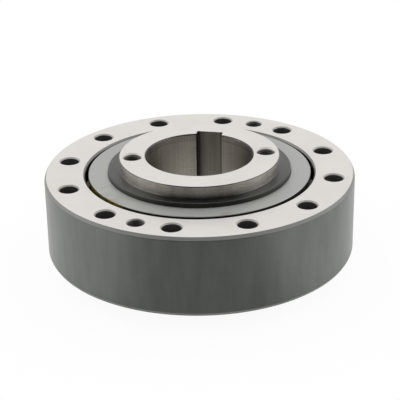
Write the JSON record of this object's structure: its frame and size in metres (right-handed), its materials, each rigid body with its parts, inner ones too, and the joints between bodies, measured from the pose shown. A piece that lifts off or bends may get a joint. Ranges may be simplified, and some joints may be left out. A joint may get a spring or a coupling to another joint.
{
  "type": "sprag clutch",
  "caption": "Open one-way sprag clutch: thick bolted outer ring, keyed inner ring with raised collars, and caged lift-off sprags between them.",
  "frame": {"origin": "centre of the shaft bore at mid-length", "axes": "+Z along the bore axis; +Y through the keyway; the bolt holes are at every 30 degrees from +X"},
  "size_m": [0.29, 0.29, 0.107],
  "materials": {
    "outer_ring_steel": "ground faces, turned rim",
    "inner_ring_steel": "ground collar faces, blackened body",
    "cage_steel": "fine turned",
    "post_steel": "milled and deburred",
    "sprag_steel": "polished bearing steel",
    "spring_steel": "tempered strip"
  },
  "bodies": {
    "outer": {"outer_ring": "outer_ring_steel"},
    "inner": {"inner_ring": "inner_ring_steel", "upper_cage_disc": "cage_steel", "lower_cage_disc": "cage_steel", "cage_posts": "post_steel", "sprag_springs": "spring_steel"},
    "sprag_01": {"sprag_01": "sprag_steel"},
    "sprag_02": {"sprag_02": "sprag_steel"},
    "sprag_03": {"sprag_03": "sprag_steel"},
    "sprag_04": {"sprag_04": "sprag_steel"},
    "sprag_05": {"sprag_05": "sprag_steel"},
    "sprag_06": {"sprag_06": "sprag_steel"},
    "sprag_07": {"sprag_07": "sprag_steel"},
    "sprag_08": {"sprag_08": "sprag_steel"},
    "sprag_09": {"sprag_09": "sprag_steel"},
    "sprag_10": {"sprag_10": "sprag_steel"},
    "sprag_11": {"sprag_11": "sprag_steel"},
    "sprag_12": {"sprag_12": "sprag_steel"},
    "sprag_13": {"sprag_13": "sprag_steel"},
    "sprag_14": {"sprag_14": "sprag_steel"},
    "sprag_15": {"sprag_15": "sprag_steel"},
    "sprag_16": {"sprag_16": "sprag_steel"},
    "sprag_17": {"sprag_17": "sprag_steel"},
    "sprag_18": {"sprag_18": "sprag_steel"}
  },
  "joints": [
    {"name": "overrun", "type": "hinge", "parent": "outer", "child": "inner", "pos_m": [0, 0, 0], "axis": [0, 0, 1], "continuous": true},
    {"name": "sprag_01_tilt", "type": "hinge", "parent": "inner", "child": "sprag_01", "pos_m": [0.0921, 0, 0], "axis": [0, 0, 1], "range_deg": [0, 10], "stiffness_Nm_per_rad": 0.05, "springref_deg": -11.46, "deforming": ["sprag_springs"]},
    {"name": "sprag_02_tilt", "type": "hinge", "parent": "inner", "child": "sprag_02", "pos_m": [0.08655, 0.0315, 0], "axis": [0, 0, 1], "range_deg": [0, 10], "stiffness_Nm_per_rad": 0.05, "springref_deg": -11.46},
    {"name": "sprag_03_tilt", "type": "hinge", "parent": "inner", "child": "sprag_03", "pos_m": [0.07055, 0.0592, 0], "axis": [0, 0, 1], "range_deg": [0, 10], "stiffness_Nm_per_rad": 0.05, "springref_deg": -11.46},
    {"name": "sprag_04_tilt", "type": "hinge", "parent": "inner", "child": "sprag_04", "pos_m": [0.04605, 0.07976, 0], "axis": [0, 0, 1], "range_deg": [0, 10], "stiffness_Nm_per_rad": 0.05, "springref_deg": -11.46},
    {"name": "sprag_05_tilt", "type": "hinge", "parent": "inner", "child": "sprag_05", "pos_m": [0.01599, 0.0907, 0], "axis": [0, 0, 1], "range_deg": [0, 10], "stiffness_Nm_per_rad": 0.05, "springref_deg": -11.46},
    {"name": "sprag_06_tilt", "type": "hinge", "parent": "inner", "child": "sprag_06", "pos_m": [-0.01599, 0.0907, 0], "axis": [0, 0, 1], "range_deg": [0, 10], "stiffness_Nm_per_rad": 0.05, "springref_deg": -11.46},
    {"name": "sprag_07_tilt", "type": "hinge", "parent": "inner", "child": "sprag_07", "pos_m": [-0.04605, 0.07976, 0], "axis": [0, 0, 1], "range_deg": [0, 10], "stiffness_Nm_per_rad": 0.05, "springref_deg": -11.46},
    {"name": "sprag_08_tilt", "type": "hinge", "parent": "inner", "child": "sprag_08", "pos_m": [-0.07055, 0.0592, 0], "axis": [0, 0, 1], "range_deg": [0, 10], "stiffness_Nm_per_rad": 0.05, "springref_deg": -11.46},
    {"name": "sprag_09_tilt", "type": "hinge", "parent": "inner", "child": "sprag_09", "pos_m": [-0.08655, 0.0315, 0], "axis": [0, 0, 1], "range_deg": [0, 10], "stiffness_Nm_per_rad": 0.05, "springref_deg": -11.46},
    {"name": "sprag_10_tilt", "type": "hinge", "parent": "inner", "child": "sprag_10", "pos_m": [-0.0921, 0, 0], "axis": [0, 0, 1], "range_deg": [0, 10], "stiffness_Nm_per_rad": 0.05, "springref_deg": -11.46},
    {"name": "sprag_11_tilt", "type": "hinge", "parent": "inner", "child": "sprag_11", "pos_m": [-0.08655, -0.0315, 0], "axis": [0, 0, 1], "range_deg": [0, 10], "stiffness_Nm_per_rad": 0.05, "springref_deg": -11.46},
    {"name": "sprag_12_tilt", "type": "hinge", "parent": "inner", "child": "sprag_12", "pos_m": [-0.07055, -0.0592, 0], "axis": [0, 0, 1], "range_deg": [0, 10], "stiffness_Nm_per_rad": 0.05, "springref_deg": -11.46},
    {"name": "sprag_13_tilt", "type": "hinge", "parent": "inner", "child": "sprag_13", "pos_m": [-0.04605, -0.07976, 0], "axis": [0, 0, 1], "range_deg": [0, 10], "stiffness_Nm_per_rad": 0.05, "springref_deg": -11.46},
    {"name": "sprag_14_tilt", "type": "hinge", "parent": "inner", "child": "sprag_14", "pos_m": [-0.01599, -0.0907, 0], "axis": [0, 0, 1], "range_deg": [0, 10], "stiffness_Nm_per_rad": 0.05, "springref_deg": -11.46},
    {"name": "sprag_15_tilt", "type": "hinge", "parent": "inner", "child": "sprag_15", "pos_m": [0.01599, -0.0907, 0], "axis": [0, 0, 1], "range_deg": [0, 10], "stiffness_Nm_per_rad": 0.05, "springref_deg": -11.46},
    {"name": "sprag_16_tilt", "type": "hinge", "parent": "inner", "child": "sprag_16", "pos_m": [0.04605, -0.07976, 0], "axis": [0, 0, 1], "range_deg": [0, 10], "stiffness_Nm_per_rad": 0.05, "springref_deg": -11.46},
    {"name": "sprag_17_tilt", "type": "hinge", "parent": "inner", "child": "sprag_17", "pos_m": [0.07055, -0.0592, 0], "axis": [0, 0, 1], "range_deg": [0, 10], "stiffness_Nm_per_rad": 0.05, "springref_deg": -11.46},
    {"name": "sprag_18_tilt", "type": "hinge", "parent": "inner", "child": "sprag_18", "pos_m": [0.08655, -0.0315, 0], "axis": [0, 0, 1], "range_deg": [0, 10], "stiffness_Nm_per_rad": 0.05, "springref_deg": -11.46}
  ],
  "couplings": [
    {"joint": "sprag_02_tilt", "follows": "sprag_01_tilt", "ratio": 1},
    {"joint": "sprag_03_tilt", "follows": "sprag_01_tilt", "ratio": 1},
    {"joint": "sprag_04_tilt", "follows": "sprag_01_tilt", "ratio": 1},
    {"joint": "sprag_05_tilt", "follows": "sprag_01_tilt", "ratio": 1},
    {"joint": "sprag_06_tilt", "follows": "sprag_01_tilt", "ratio": 1},
    {"joint": "sprag_07_tilt", "follows": "sprag_01_tilt", "ratio": 1},
    {"joint": "sprag_08_tilt", "follows": "sprag_01_tilt", "ratio": 1},
    {"joint": "sprag_09_tilt", "follows": "sprag_01_tilt", "ratio": 1},
    {"joint": "sprag_10_tilt", "follows": "sprag_01_tilt", "ratio": 1},
    {"joint": "sprag_11_tilt", "follows": "sprag_01_tilt", "ratio": 1},
    {"joint": "sprag_12_tilt", "follows": "sprag_01_tilt", "ratio": 1},
    {"joint": "sprag_13_tilt", "follows": "sprag_01_tilt", "ratio": 1},
    {"joint": "sprag_14_tilt", "follows": "sprag_01_tilt", "ratio": 1},
    {"joint": "sprag_15_tilt", "follows": "sprag_01_tilt", "ratio": 1},
    {"joint": "sprag_16_tilt", "follows": "sprag_01_tilt", "ratio": 1},
    {"joint": "sprag_17_tilt", "follows": "sprag_01_tilt", "ratio": 1},
    {"joint": "sprag_18_tilt", "follows": "sprag_01_tilt", "ratio": 1}
  ]
}
